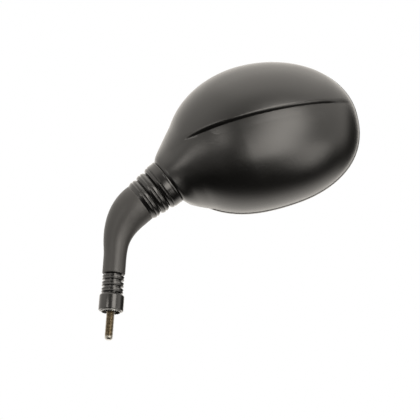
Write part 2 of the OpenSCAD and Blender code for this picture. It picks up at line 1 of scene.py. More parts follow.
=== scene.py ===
# %% [markdown]
# # A motorcycle mirror, dressed for the camera
# The mirror is already modelled as plain solids in a fixed frame: metres, +Z up the stud, the glass
# facing +Y. This notebook keeps that frame. It remakes the pieces that show in finer mesh, gives
# every piece a finish of its own, and then sets up a white studio.
#
# We load the frame first.

# %% Load the frame
import math

import bmesh
import bpy
from mathutils import Matrix, Vector


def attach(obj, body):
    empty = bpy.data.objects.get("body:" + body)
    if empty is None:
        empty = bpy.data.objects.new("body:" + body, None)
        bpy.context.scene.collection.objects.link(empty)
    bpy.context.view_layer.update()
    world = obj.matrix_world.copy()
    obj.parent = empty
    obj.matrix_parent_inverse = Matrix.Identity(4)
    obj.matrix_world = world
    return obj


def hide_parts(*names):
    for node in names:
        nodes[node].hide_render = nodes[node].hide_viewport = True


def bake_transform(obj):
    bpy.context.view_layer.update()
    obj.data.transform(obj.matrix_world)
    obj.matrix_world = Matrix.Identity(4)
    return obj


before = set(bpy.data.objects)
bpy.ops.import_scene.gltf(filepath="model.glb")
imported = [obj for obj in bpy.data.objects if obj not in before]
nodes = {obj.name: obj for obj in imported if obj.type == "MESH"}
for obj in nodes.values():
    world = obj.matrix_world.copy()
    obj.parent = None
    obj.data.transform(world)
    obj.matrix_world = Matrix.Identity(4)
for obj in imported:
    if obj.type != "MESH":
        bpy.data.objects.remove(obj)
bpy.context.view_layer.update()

# %% [markdown]
# ## The camera
# The mirror is seen from behind and a little from below, with a long lens, so that near and far
# parts are at almost the same scale. We could fit the camera by eye, but three unit vectors say it
# exactly: which way the picture's right, its top and the viewer lie. One pixel then fixes the place:
# the one where the stud's seat has to come. The long lens comes from standing 4 m away and letting
# the view be only 302 mm wide.

# %% Place the camera
PICTURE = 420
MM_PER_PIXEL = 0.72
MM = 0.001

to_right = Vector((0.994, 0.081, 0.0725)).normalized()
to_viewer = Vector((0.096, -0.965, -0.242)).normalized()
to_top = to_viewer.cross(to_right).normalized()
to_right = to_top.cross(to_viewer)

seat_pixel = (110.6, 312.8)
right_mm = (PICTURE / 2 - seat_pixel[0]) * MM_PER_PIXEL
up_mm = (seat_pixel[1] - PICTURE / 2) * MM_PER_PIXEL
view_middle = (to_right * right_mm + to_top * up_mm) * MM
camera_distance = 4.0

lens = bpy.data.cameras.new("long_lens")
camera = bpy.data.objects.new("camera", lens)
bpy.context.collection.objects.link(camera)
camera_turn = Matrix((to_right, to_top, to_viewer)).transposed().to_4x4()
camera.matrix_world = Matrix.Translation(view_middle + to_viewer * camera_distance) @ camera_turn
view_width = PICTURE * MM_PER_PIXEL * MM
lens.lens = lens.sensor_width * camera_distance / view_width
lens.clip_end = 50
bpy.context.scene.camera = camera
print("lens", round(lens.lens), "mm")

# %% [markdown]
# ## Sizes and frames
# The real mirror has three places that everything is measured from: the stud's seat, the ball that
# the housing turns on, and the plane of the rim. Each gets a matrix, so a shape can be drawn upright
# and in millimetres, and then be carried to its place. The sizes are those of the solids, apart from
# the rim's outline and ledge, the crease and the depth of the boots' grooves. There the skins follow
# the real mirror more closely than the solids do, and never stand outside them by more than a hair.
# In the names, d is a diameter, r a radius, t a thickness and h a height.

# %% Named sizes, in millimetres and degrees
stud_d, stud_below, stud_chamfer, thread_pitch = 6, 20, 1.1, 1
shank_d, shank_top, thread_top = 8, 45.5, 10
cuff_d, cuff_base, cuff_top, cuff_chamfer = 18.1, 1.4, 13.8, 1.4
cuff_bore_r, cuff_floor = 7.4, 7.3
lower_rib_d, lower_root_d, lower_ribs, lower_wall = 16.2, 13.2, 3, 1.2
arm_base, arm_straight, arm_bend_r, arm_bend = 28.5, 20.7, 44.8, 48.8
arm_lower_d, arm_upper_d, taper_start, taper_end, arm_lip = 16.6, 29, 12, 3, 1.5
plug_gap, plug_len, recess_depth = 0.1, 3.9, 4
ball_rise, neck_rise, neck_floor = 13.4, 12, 4
collar_d, collar_len, upper_rib_d, lower_crest_d, groove_d = 35.2, 9, 33, 31.4, 27
head_rise, head_lean, head_turn = 17.7, 9.5, 1.1
head_along, head_across, neck_level = 70.5, 16.6, 20
far_half, near_half, upper_half, lower_half = 74.5, 67, 54.6, 53.3
upper_square, lower_square, far_square = 2.0, 2.2, 0.14
shell_depth, shell_wall, neck_d = 50, 3, 34.9
crease_step, crease_face, crease_height = 3.5, 2.8, 15.2
crease_span, crease_peak = 121, 8
rim_ledge, trim_wall, trim_lip, trim_lip_t = 0.5, 2, 2.4, 1.6
glass_t, glass_radius, pad_t, plate_t = 2, 1300, 1, 1.8


# %% Small helpers for shapes
def smooth(low, high, x):
    share = min(1, max(0, (x - low) / (high - low)))
    return share * share * (3 - 2 * share)


def mix(first, last, share):
    return first * (1 - share) + last * share


def steps(low, high, count):
    return [low + (high - low) * i / count for i in range(count + 1)]


def sind(angle):
    return math.sin(math.radians(angle))


def cosd(angle):
    return math.cos(math.radians(angle))


# %% The ball's frame and the rim's frame
neck_dir = Vector((sind(arm_bend), 0, cosd(arm_bend)))
arm_end = Vector(
    (arm_bend_r * (1 - cosd(arm_bend)), 0, arm_base + arm_straight + arm_bend_r * sind(arm_bend))
)
ball_centre = arm_end + ball_rise * neck_dir
neck_centre = ball_centre + neck_rise * neck_dir
ball_frame = Matrix.Translation(ball_centre) @ Matrix.Rotation(math.radians(arm_bend), 4, "Y")

head_spin = (
    Matrix.Rotation(math.radians(head_turn), 4, "Z")
    @ Matrix.Rotation(math.radians(-head_rise), 4, "Y")
    @ Matrix.Rotation(math.radians(90 + head_lean), 4, "X")
)
long_dir, across_dir, back_dir = (head_spin.col[i].to_3d() for i in range(3))
head_origin = neck_centre + head_along * long_dir + head_across * across_dir - neck_level * back_dir
head_frame = Matrix.Translation(head_origin) @ head_spin
print("ball at", [round(c, 1) for c in ball_centre], "rim at", [round(c, 1) for c in head_origin])


# %% [markdown]
# ## Skins from rings
# Almost every piece here is moulded or turned, so its skin is a row of rings: circles up an axis for
# a boot, ovals along the shell. One routine joins the rings with four-sided faces. If the first ring
# is joined to the last as well, the skin closes like a tyre, which suits a hollow boot. Otherwise its
# two ends get a cap. Points closer than the weld are joined, sharp edges are marked by angle, and the
# rest is shaded smooth. A piece is hung from the body it is given; the boots are given none.


# %% Join rings and make a piece
def ring_faces(rings, around, tyre):
    faces = []
    for i in range(rings if tyre else rings - 1):
        low = i * around
        high = (i + 1) % rings * around
        for j in range(around):
            k = (j + 1) % around
            faces.append((low + j, low + k, high + k, high + j))
    if not tyre:
        faces.append(tuple(range(around)))
        faces.append(tuple((rings - 1) * around + j for j in range(around)))
    return faces


def skin_piece(name, points, faces, body, node, sharp=40, weld=0.004, thin=0):
    mesh = bpy.data.meshes.new(name)
    mesh.from_pydata([Vector(point) * MM for point in points], [], faces)
    work = bmesh.new()
    work.from_mesh(mesh)
    bmesh.ops.remove_doubles(work, verts=work.verts, dist=weld * MM)
    if thin:
        bmesh.ops.dissolve_degenerate(work, edges=work.edges, dist=thin * MM)
    bmesh.ops.recalc_face_normals(work, faces=work.faces)
    work.to_mesh(mesh)
    work.free()
    mesh.shade_smooth()
    mesh.set_sharp_from_angle(angle=math.radians(sharp))
    made = bpy.data.objects.new(name, mesh)
    bpy.context.collection.objects.link(made)
    if body:
        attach(made, body)
    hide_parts(node)
    print(name, len(mesh.polygons), "faces")
    return made


def ring_piece(name, rings, body, node, tyre=False, sharp=40):
    points = [point for ring in rings for point in ring]
    faces = ring_faces(len(rings), len(rings[0]), tyre)
    return skin_piece(name, points, faces, body, node, sharp)


# %% [markdown]
# A turned piece is drawn as an outline of (radius, height) points. Moulded rubber and plastic have
# no knife edges, so a corner may carry a third number, the length that its rounding takes from each
# side. A short curve then replaces it, and the rounding catches a thin line of light.


# %% Turn an outline and soften its corners
def softened(corners, pieces=4):
    outline = []
    for i, corner in enumerate(corners):
        here = Vector(corner[:2])
        if len(corner) == 2:
            outline.append(here)
            continue
        before = Vector(corners[i - 1][:2]) - here
        after = Vector(corners[(i + 1) % len(corners)][:2]) - here
        start = here + before.normalized() * min(corner[2], before.length / 2)
        end = here + after.normalized() * min(corner[2], after.length / 2)
        for t in steps(0, 1, pieces):
            outline.append(start * (1 - t) ** 2 + here * 2 * t * (1 - t) + end * t * t)
    return outline


def round_point(radius, angle, height):
    return Vector((radius * cosd(angle), radius * sind(angle), height))


def turned(outline, place=Matrix.Identity(4), around=96):
    angles = steps(0, 360, around)[:-1]
    return [[place @ round_point(radius, angle, height) for angle in angles] for radius, height in outline]


# %% [markdown]
# ## The arm
# The arm is one black moulding that starts straight, bends over and swells towards the boot. A
# bent cylinder would not taper like this, so we carry a circle along the arm's middle line and let
# its radius grow on a smooth curve. Both ends roll over a small rounding into the recess that grips
# a boot's end, which makes the dark undercut above the lower boot.

# %% Sweep the arm
arm_length = arm_straight + arm_bend_r * math.radians(arm_bend)
lower_plug_r = arm_lower_d / 2 - arm_lip - plug_gap
upper_plug_r = arm_upper_d / 2 - arm_lip - plug_gap
edge_len, edge_drop, mouth_edge = 1, 0.6, 0.2


def arm_frame(distance):
    angle = math.degrees(max(0, distance - arm_straight) / arm_bend_r)
    out = arm_bend_r * (1 - cosd(angle))
    up = arm_base + min(distance, arm_straight) + arm_bend_r * sind(angle)
    return Matrix.Translation(Vector((out, 0, up))) @ Matrix.Rotation(math.radians(angle), 4, "Y")


def arm_radius(distance):
    share = smooth(taper_start, arm_length - taper_end, distance)
    edge = min(1, distance / edge_len, (arm_length - distance) / edge_len)
    drop = 1 - math.sqrt(max(0, edge * (2 - edge)))
    return mix(arm_lower_d, arm_upper_d, share) / 2 - drop * edge_drop


def arm_ring(distance, radius, offset=0):
    return turned([(radius, offset)], arm_frame(distance))[0]


def recess(distance, plug_r, inward):
    bore_r = plug_r + plug_gap
    return [
        arm_ring(distance, bore_r + mouth_edge),
        arm_ring(distance, bore_r, inward * mouth_edge),
        arm_ring(distance, bore_r, inward * recess_depth),
    ]


edge_steps = [edge_len * share for share in (0, 0.05, 0.15, 0.3, 0.5, 0.75, 1)]
arm_stations = edge_steps + steps(edge_len, arm_length - edge_len, 96)[1:]
arm_stations += [arm_length - step for step in edge_steps[-2::-1]]
arm_rings = recess(0, lower_plug_r, 1)[::-1]
arm_rings += [arm_ring(distance, arm_radius(distance)) for distance in arm_stations]
arm_rings += recess(arm_length, upper_plug_r, -1)
arm_skin = ring_piece("arm_skin", arm_rings, "stem", "arm")

# %% [markdown]
# ## The upper boot
# One rubber moulding hides the ball joint: a wide collar that hugs the housing's neck, and two fat
# folds. The housing can spin, tilt and pan on its ball, and rubber has to follow all three. A piece
# can only bend across one joint, so the boot is made as three sleeves that share their edge rings,
# cut where the spin, the tilt and the pan would each take over; the third holds the collar. From
# outside they read as one skin. Each fold has a fine slit round its crest, so it shows two thin
# lights with a dark line between, as the real ones do. The collar starts with a bead, and a shallow
# groove and a plain band with a small lip follow.


# %% One fold of the boot
fold_slope, fold_slit = 0.9, 0.65
root_gap, flank_in, crest_half, slit_half = 0.15, 0.4, 0.9, 0.15
root_round, flank_round, crest_round, slit_round = 0.1, 0.7, 0.6, 0.12


def fold(low, high, root_r, crest_r):
    middle = (low + high) / 2
    slit_r = crest_r - fold_slit
    return [
        (root_r, low + root_gap, root_round),
        (crest_r - fold_slope, low + flank_in, flank_round),
        (crest_r, middle - crest_half, crest_round),
        (slit_r, middle - slit_half, slit_round),
        (slit_r, middle + slit_half, slit_round),
        (crest_r, middle + crest_half, crest_round),
        (crest_r - fold_slope, high - flank_in, flank_round),
        (root_r, high - root_gap, root_round),
    ]


# %% The boot's outline
collar_gap, bead_drop, bead_h, band_foot, lip_h = 0.2, 1.2, 2.8, 4, 1.2
first_gap = 0.3
arm_rim = -ball_rise
collar_top = neck_rise - collar_gap
bead_foot = collar_top - collar_len - bead_drop
fold_h = (bead_foot - arm_rim) / 2
collar_r = collar_d / 2
groove_r = groove_d / 2
inside_collar = collar_top + 0.01
boot_corners = fold(arm_rim + first_gap, arm_rim + fold_h, groove_r, lower_crest_d / 2)
boot_corners += fold(arm_rim + fold_h, bead_foot, groove_r, upper_rib_d / 2)
boot_corners += [
    (groove_r, bead_foot + root_gap, 0.2),
    (collar_r - 1.4, bead_foot + 0.6, 0.9),
    (collar_r - 0.2, bead_foot + bead_h, 0.5),
    (collar_r - 0.9, bead_foot + (bead_h + band_foot) / 2, 0.25),
    (collar_r - 0.1, bead_foot + band_foot, 0.5),
    (collar_r - 0.15, collar_top - lip_h - 0.5, 0.4),
    (collar_r, collar_top - lip_h, 0.4),
    (collar_r, collar_top, 0.6),
    (neck_d / 2 - 2, inside_collar),
]
boot_outline = [Vector((upper_plug_r, arm_rim)), *softened(boot_corners)]
boot_outline[-1] = Vector((collar_r - 1.2, inside_collar))
print("upper boot:", round(collar_top - arm_rim, 1), "mm long,", len(boot_outline), "outline points")


def outline_between(outline, low, high):
    part = [point for point in outline if low < point.y < high]
    ends = []
    for level in (low, high):
        for under, over in zip(outline, outline[1:]):
            if under.y <= level <= over.y and over.y > under.y:
                ends.append(under.lerp(over, (level - under.y) / (over.y - under.y)))
                break
    return [ends[0]] + part + ([ends[1]] if len(ends) > 1 else [])


# %% The three sleeves
boot_wall, spin_len = 1.6, 0.9


def at_height(level):
    return tuple((ball_centre + level * neck_dir) * MM)


def sleeve(name, outer):
    inner = [Vector((groove_r - boot_wall, end.y)) for end in (outer[-1], outer[0])]
    rings = turned(outer + inner, ball_frame, around=128)
    return ring_piece(name, rings, None, "upper_boot", tyre=True)


spin_top, tilt_top = arm_rim + spin_len, arm_rim + fold_h
spin_part = [Vector((upper_plug_r, arm_rim - plug_len))]
spin_part += outline_between(boot_outline, arm_rim, spin_top)
tilt_part = outline_between(boot_outline, spin_top, tilt_top)
pan_part = outline_between(boot_outline, tilt_top, collar_top - 0.001) + boot_outline[-1:]
boot_spin = sleeve("boot_spin", spin_part)
boot_tilt = sleeve("boot_tilt", tilt_part)
boot_pan = sleeve("boot_pan", pan_part)
at_height(arm_rim)
at_height(spin_top)
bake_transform(boot_spin)
at_height(spin_top)
at_height(tilt_top)
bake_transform(boot_tilt)
at_height(tilt_top)
at_height(bead_foot)
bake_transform(boot_pan)

# %% [markdown]
# ## The lower boot
# The lower boot keeps water off the lock nut. Its cuff can be pushed up to reach the nut with a
# spanner, and then the three thin ribs fold together. Here it is one sleeve, from the plug in the
# arm down to the cuff. Each rib has a shallow dip round its crest, and the roots are cut deep, so
# that the gaps read dark.

# %% Turn the lower boot
rib_share, rib_dip, rib_round, root_sink = 0.3, 0.5, 0.5, 0.55
spare_pitch = 0.15
lower_pitch = (arm_base - cuff_top) / (lower_ribs + spare_pitch)
half = lower_pitch * rib_share
root_r = lower_root_d / 2 - root_sink
rib_r = lower_rib_d / 2
cuff_r = cuff_d / 2
lower_bore_r = lower_root_d / 2 - lower_wall
lower_corners = [
    (cuff_bore_r, cuff_base, 0.3),
    (cuff_r, cuff_base, 0.7),
    (cuff_r, cuff_top - cuff_chamfer, 0.7),
    (cuff_r - cuff_chamfer, cuff_top, 0.5),
    (root_r, cuff_top + 0.02, 0.1),
]
for i in range(lower_ribs):
    middle = cuff_top + lower_pitch * (i + 0.5)
    lower_corners += [
        (root_r, middle - half - 0.1, root_round),
        (rib_r, middle - half, rib_round),
        (rib_r - rib_dip, middle, 0.4),
        (rib_r, middle + half, rib_round),
        (root_r, middle + half + 0.1, root_round),
    ]
plug_and_bore = [
    (root_r, arm_base - 0.5),
    (lower_plug_r, arm_base),
    (lower_plug_r, arm_base + plug_len),
    (lower_bore_r, arm_base + plug_len),
    (lower_bore_r, cuff_floor),
    (cuff_bore_r, cuff_floor),
]
lower_outline = softened(lower_corners) + [Vector(point) for point in plug_and_bore]
lower_sleeve = ring_piece("lower_sleeve", turned(lower_outline), None, "lower_boot", tyre=True)
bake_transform(lower_sleeve)

# %% [markdown]
# ## The threaded stud
# The solid stud is a plain cylinder at the thread's outer diameter. The real one has a rolled thread
# with one turn for each millimetre. A stack of rings would be quicker, but it would not climb, and
# the eye sees that. So the surface is wound along the helix: each column is turned a little further
# and stands a little higher, and after a full turn it meets the row one pitch above. The profile has
# a small flat at root and crest, as a rolled thread has, and it runs out gently below the plain
# shank.

# %% Wind the thread
thread_rows, thread_around = 10, 48
thread_depth = 0.6134 * thread_pitch
root_flat, crest_flat = 0.125, 0.25
run_out_from, run_out_to = thread_top - 2.5, thread_top - 1
stud_r = stud_d / 2


def thread_radius(row, height):
    phase = row % thread_rows / thread_rows
    rise = abs(2 * phase - 1)
    cut = min(1, max(0, (rise - root_flat) / (1 - root_flat - crest_flat)))
    run_out = smooth(run_out_to, run_out_from, height)
    chamfer_r = stud_r - stud_chamfer + (height + stud_below)
    return min(stud_r - thread_depth * (1 - cut) * run_out, chamfer_r)


def thread_point(row, column):
    height = -stud_below + (row / thread_rows + column / thread_around - 1) * thread_pitch
    height = min(thread_top, max(-stud_below, height))
    return round_point(thread_radius(row, height), 360 * column / thread_around, height)


row_count = int((stud_below + thread_top) / thread_pitch + 1) * thread_rows
points = [thread_point(row, column) for row in range(row_count + 1) for column in range(thread_around)]
faces = []
for row in range(row_count - thread_rows + 1):
    for column in range(thread_around):
        here = row * thread_around + column
        if column < thread_around - 1:
            faces.append([here, here + 1, here + thread_around + 1, here + thread_around])
        elif row + thread_rows < row_count:
            one_turn_up = (row + thread_rows) * thread_around
            faces.append([here, one_turn_up, one_turn_up + thread_around, here + thread_around])
print("thread:", row_count // thread_rows, "turns of", thread_rows, "rows")

# %% [markdown]
# The wound rows are cut flat by the clamp on their height, so both ends have folded faces. The weld
# and a pass over the thinnest faces remove them. The plain shank and the flat tip are turned
# outlines that close the two ends.

# %% Add the shank and the tip, and make the stud
axis_r, tip_r, shank_edge, root_dip = 0.05, 1.4, 0.8, 0.6
shank_r = shank_d / 2
shank_outline = [
    (axis_r, thread_top - root_dip),
    (stud_r - thread_depth, thread_top - root_dip),
    (stud_r, thread_top),
    (shank_r, thread_top + shank_edge),
    (shank_r, shank_top - shank_edge),
    (shank_r - shank_edge, shank_top),
    (axis_r, shank_top),
]
tip_outline = [(axis_r, -stud_below), (tip_r, -stud_below), (stud_r - stud_chamfer, -stud_below + 0.02)]
for outline in (shank_outline, tip_outline):
    rings = turned(outline, around=thread_around)
    base = len(points)
    points += [point for ring in rings for point in ring]
    open_faces = ring_faces(len(rings), thread_around, False)[:-2]
    faces += [[base + index for index in face] for face in open_faces]
joining = {"sharp": 35, "weld": 0.003, "thin": 0.002}
stud = skin_piece("stud_thread", points, faces, "stem", "threaded_stud", **joining)


# %% [markdown]
# ## The rim
# Seen from the glass side the mirror is an egg: four quarters of a squared ellipse that meet
# smoothly, each with its own half length and half width. The lower far quarter is a little squarer
# than the rest. Shell, trim and glass all follow this outline, each set in by its own distance, so
# one function serves them all. The glass is a shallow cap of a large sphere, and the trim's lip
# follows that cap.


# %% The rim's outline and the glass's bulge
def rim_r(angle, inset):
    far, upper = cosd(angle) > 0, sind(angle) > 0
    half_length = (far_half if far else near_half) - inset
    half_width = (upper_half if upper else lower_half) - inset
    power = upper_square if upper else lower_square + far_square * smooth(0, 0.5, cosd(angle))
    along, across = abs(cosd(angle)) / half_length, abs(sind(angle)) / half_width
    return (along**power + across**power) ** (-1 / power)


def rim_point(angle, inset):
    return round_point(rim_r(angle, inset), angle, 0)


def bulge(radius):
    return glass_radius - math.sqrt(glass_radius**2 - radius * radius)


glass_gap, lip_gap = 0.2, 0.1
inner_inset = trim_wall + glass_gap
dome_level = bulge(near_half - inner_inset)
pad_front = -plate_t - pad_t
glass_front = pad_front - glass_t
lip_back = glass_front - lip_gap
trim_front = lip_back - dome_level + bulge(lower_half - trim_wall - trim_lip) - trim_lip_t
rim_around = 360


def rim_ring(inset, level, on_dome=False, share=1):
    ring = []
    for angle in steps(0, 360, rim_around)[:-1]:
        point = rim_point(angle, inset) * share
        point.z = level - dome_level + bulge(point.length) if on_dome else level
        ring.append(head_frame @ point)
    return ring


print("the glass rises", round(dome_level, 2), "mm from its middle to its near edge")

# %% [markdown]
# The trim is a ring whose section is an angle: a wall round the glass and a lip over its edge. Its
# outer corner is well rounded, because hands and cloths pass over it, and the ledge that shows past
# the shell has a small rounding that catches a thin line of light. The glass has a ground edge.

# %% Make the trim and the glass
ledge_round, outer_round, lip_round, lip_edge = 0.35, 2.2, 0.9, 0.6
lip_inset = trim_wall + trim_lip
section_corners = [
    (0, 0, ledge_round),
    (0, trim_front, outer_round),
    (lip_inset, trim_front, lip_round),
    (lip_inset, lip_back - lip_edge),
]
trim_rings = [rim_ring(corner.x, corner.y) for corner in softened(section_corners, pieces=6)]
trim_rings.append(rim_ring(lip_inset, lip_back, on_dome=True))
trim_rings.append(rim_ring(trim_wall, lip_back, on_dome=True))
trim_rings.append(rim_ring(trim_wall, 0))
trim_ring = ring_piece("trim_ring", trim_rings, "head", "rim_trim", tyre=True)

front_edge, back_edge, pole = 0.4, 0.3, 0.004
glass_rings = []
for share in [pole] + steps(0.05, 1, 19):
    glass_rings.append(rim_ring(inner_inset + front_edge, glass_front, True, share))
glass_rings.append(rim_ring(inner_inset, glass_front + front_edge, True))
glass_rings.append(rim_ring(inner_inset, pad_front - back_edge, True))
for share in (1, 0.5, pole):
    glass_rings.append(rim_ring(inner_inset + back_edge, pad_front, True, share))
glass = ring_piece("glass", glass_rings, "head", "mirror_glass", sharp=30)

# %% [markdown]
# ## The housing shell
# The shell is the mirror's face to the world: an egg-shaped dome that runs out into a round neck,
# with a stepped crease drawn across its back. Sculpting could reach the shape, but would lose its
# exact neck and rim. So the shell is lofted. Stations fan out from the neck round the rim to the far
# end: each joins a point of the upper run to a point of the lower run, and carries an arch between
# them. Near the neck the two runs flare in to the neck's own width, and the arch turns with them. At
# the very end the neck is pinched in a little, which rounds its edge. A narrow ledge of the trim
# shows past the lower run and round the far end, and none past the upper run.


# %% The shell's stations
def in_head(direction):
    return Vector((direction.dot(long_dir), direction.dot(across_dir), direction.dot(back_dir)))


neck_along = in_head(neck_dir)
neck_mid = Vector((-head_along, -head_across, neck_level))
neck_side = Vector((-neck_along.y, neck_along.x, 0)).normalized()
neck_back = neck_along.cross(neck_side)
neck_r = neck_d / 2
upper_from, lower_from, flare_turn, open_turn, last_turn = 180, 206, 22, 14, 176
upper_ledge, flare_power, pinch_depth, pinch_turn = 0.15, 1.25, 0.7, 2.5
peak, neck_swell, near_power, far_power = -8, 0.9, 2.2, 2.1


def flat(point):
    return Vector((point.x, point.y, 0))


def ledge(angle):
    return mix(upper_ledge, rim_ledge, smooth(40, 4, angle))


def pinch(turn):
    return pinch_depth * (1 - smooth(0, pinch_turn, turn))


def flare(turn):
    return max(0, 1 - turn / flare_turn) ** flare_power


def upper_edge(turn):
    start = rim_point(upper_from, ledge(upper_from))
    away = flat(neck_mid) + neck_r * neck_side - start
    angle = upper_from - turn
    return rim_point(angle, ledge(angle)) + flare(turn) * away


def lower_edge(turn):
    start = rim_point(lower_from, rim_ledge)
    away = flat(neck_mid) - neck_r * neck_side - start
    angle = lower_from + turn * (360 - lower_from) / 180
    return rim_point(angle, rim_ledge) + flare(turn) * away


def back_height(x):
    if x < peak:
        share = (peak - x) / (peak + head_along)
        fall = mix(share**near_power, smooth(0, 1, share), neck_swell)
        return shell_depth - (shell_depth - neck_level - neck_r) * fall
    share = (x - peak) / (far_half - rim_ledge - peak)
    return shell_depth * math.sqrt(max(0, 1 - share**far_power))


# %% [markdown]
# The crease is a step that follows a gentle arch along the back. It starts as a fine line near the
# neck, grows gradually into a step and runs on almost to the far edge, where it fades out. Above it
# the upper panel stands proud, and below it the lower panel starts lower and comes back level at the
# rim. Each station finds where the crease cuts it, and the points are crowded there, so that both
# edges of the step are rounded.


# %% The crease's path and depth
crease_from, crease_sharp, crease_full, fade_from, fade_to = -55, -45, -25, 50, 75
line_from, line_full, line_fade, line_end, line_depth = -71, -57, -49, -35, 0.4
soft_round, sharp_round = 3.5, 0.45


def crease_y(x):
    return crease_height * (1 - ((x - crease_peak) / crease_span) ** 2)


def crease_depth(x):
    step = crease_step * smooth(crease_from, crease_full, x) * (1 - smooth(fade_from, fade_to, x))
    fine_line = line_depth * smooth(line_from, line_full, x) * smooth(line_end, line_fade, x)
    return step + fine_line


def crease_round(x):
    return mix(soft_round, sharp_round, smooth(crease_from, crease_sharp, x))


print("crease depth along the back:", [round(crease_depth(x), 2) for x in (-60, -40, 0, 60)])


# %% Stations, and points on their arches
cut_limit, front_share, front_power = 0.9, 0.45, 0.15


def station(turn, inset=0):
    high = upper_edge(turn)
    low = lower_edge(turn)
    middle = (high + low) / 2
    half = (high - low).length / 2 - inset - pinch(turn)
    side = (high - low).normalized()
    first_cut = (crease_y(middle.x) - middle.y) / side.y
    cut = (crease_y(middle.x + side.x * first_cut) - middle.y) / side.y
    return middle, side, half, min(cut_limit, max(-cut_limit, cut / half))


def arch_base(turn):
    opened = smooth(0, open_turn, turn)
    up = neck_back * (1 - opened) + Vector((0, 0, 1)) * opened
    return neck_level * (1 - opened), up


def back_point(turn, angle, inset, sink):
    middle, side, half, _ = station(turn, inset)
    level, up = arch_base(turn)
    lift = (back_height(middle.x) - inset - pinch(turn) - level) * sind(angle) - sink
    return middle + side * half * cosd(angle) + Vector((0, 0, level)) + up * lift


def front_point(turn, angle):
    middle, side, half, _ = station(turn)
    level, up = arch_base(turn)
    closed = smooth(0, open_turn * front_share, turn)
    drop = level - (neck_level - neck_r + pinch(turn)) * (1 - closed)
    share = max(0, sind(angle)) ** mix(1, front_power, closed)
    return middle + side * half * cosd(angle) + Vector((0, 0, level)) - up * drop * share


# %% One ring of the shell
upper_steps, crease_steps, lower_steps, front_steps = 30, 14, 44, 28
edge_limit = 0.97


def shell_ring(turn, hollow):
    middle, _, half, cut = station(turn)
    top = min(edge_limit, cut + crease_round(middle.x) / half)
    foot = max(-edge_limit, cut - (crease_face + crease_round(middle.x)) / half)
    depth = crease_depth(middle.x)
    top_angle = math.degrees(math.acos(top))
    foot_angle = math.degrees(math.acos(foot))
    ring = [back_point(turn, angle, 0, 0) for angle in steps(0, top_angle, upper_steps)]
    for share in steps(0, 1, crease_steps)[1:]:
        angle = math.degrees(math.acos(mix(top, foot, share)))
        ring.append(back_point(turn, angle, 0, depth * share**2))
    for share in steps(0, 1, lower_steps)[1:]:
        angle = mix(foot_angle, 180, share)
        ring.append(back_point(turn, angle, 0, depth * (1 - share) ** 2))
    if hollow:
        ring += [back_point(turn, angle, shell_wall, 0) for angle in steps(180, 0, front_steps)]
    else:
        inner = [180 - 180 * (i + 0.5) / (front_steps + 1) for i in range(front_steps + 1)]
        ring += [front_point(turn, angle) for angle in inner]
    return [head_frame @ point for point in ring]


first_ring = shell_ring(0, False)
print("points in a ring:", len(first_ring))


# %% [markdown]
# The neck's end is machined true: the wide bore that seats the ball socket, the narrow bore that its
# snout passes, and a flat ring with a rounded edge that the boot's collar meets. These are circles
# with the same number of points as the shell's rings, so they join straight on.


# %% The neck's bores and the whole shell
socket_bore_r, snout_bore_r, bore_depth, bore_edge = 16.4, 11.1, 16, 0.3
neck_edge = [(16, 0), (16.4, 0.08), (16.65, 0.25), (16.74, 0.45)]
neck_outline = [
    (socket_bore_r, bore_depth),
    (socket_bore_r, neck_floor),
    (snout_bore_r, neck_floor),
    (snout_bore_r, bore_edge),
    (snout_bore_r + bore_edge, 0),
    *neck_edge,
]


def neck_circle(radius, beyond):
    middle = neck_centre + neck_dir * beyond
    return [middle + (point - neck_centre).normalized() * radius for point in first_ring]


body_start = open_turn + 0.6
neck_turns = steps(0, open_turn, 40)[1:]
body_turns = [body_start + (last_turn - body_start) * sind(angle) for angle in steps(0, 90, 150)]
shell_rings = [neck_circle(*point) for point in neck_outline]
shell_rings += [shell_ring(turn, False) for turn in neck_turns]
shell_rings += [shell_ring(turn, True) for turn in body_turns[:-2]]
shell_rings += [shell_ring(turn, False) for turn in body_turns[-2:]]
shell = ring_piece("shell", shell_rings, "head", "housing_shell", sharp=50)

# %% [markdown]
# ## Finishes
# A finish is a small network of nodes. Written out node by node it is long and hard to read, so one
# small class wraps a socket and lets us write shader maths as plain Python: `0.4 + 0.1 * grain` adds
# two Math nodes. A second class holds a material and adds any other node from its type, its settings
# and its inputs. Sizes of noise and cells are given in millimetres, as on the real surface.


# %% Shader maths as Python
class Value:
    def __init__(self, finish, socket):
        self.finish = finish
        self.socket = socket

    def maths(self, operation, *values):
        return self.finish.node("Math", {"operation": operation}, dict(enumerate(values)))

    def __add__(self, other):
        return self.maths("ADD", self, other)

    def __radd__(self, other):
        return self.maths("ADD", other, self)

    def __sub__(self, other):
        return self.maths("SUBTRACT", self, other)

    def __rsub__(self, other):
        return self.maths("SUBTRACT", other, self)

    def __mul__(self, other):
        return self.maths("MULTIPLY", self, other)

    def __rmul__(self, other):
        return self.maths("MULTIPLY", other, self)

    def between(self, low, high, start=0.0, end=1.0):
        settings = {"interpolation_type": "SMOOTHSTEP"}
        return self.finish.node("MapRange", settings, {0: self, 1: low, 2: high, 3: start, 4: end})


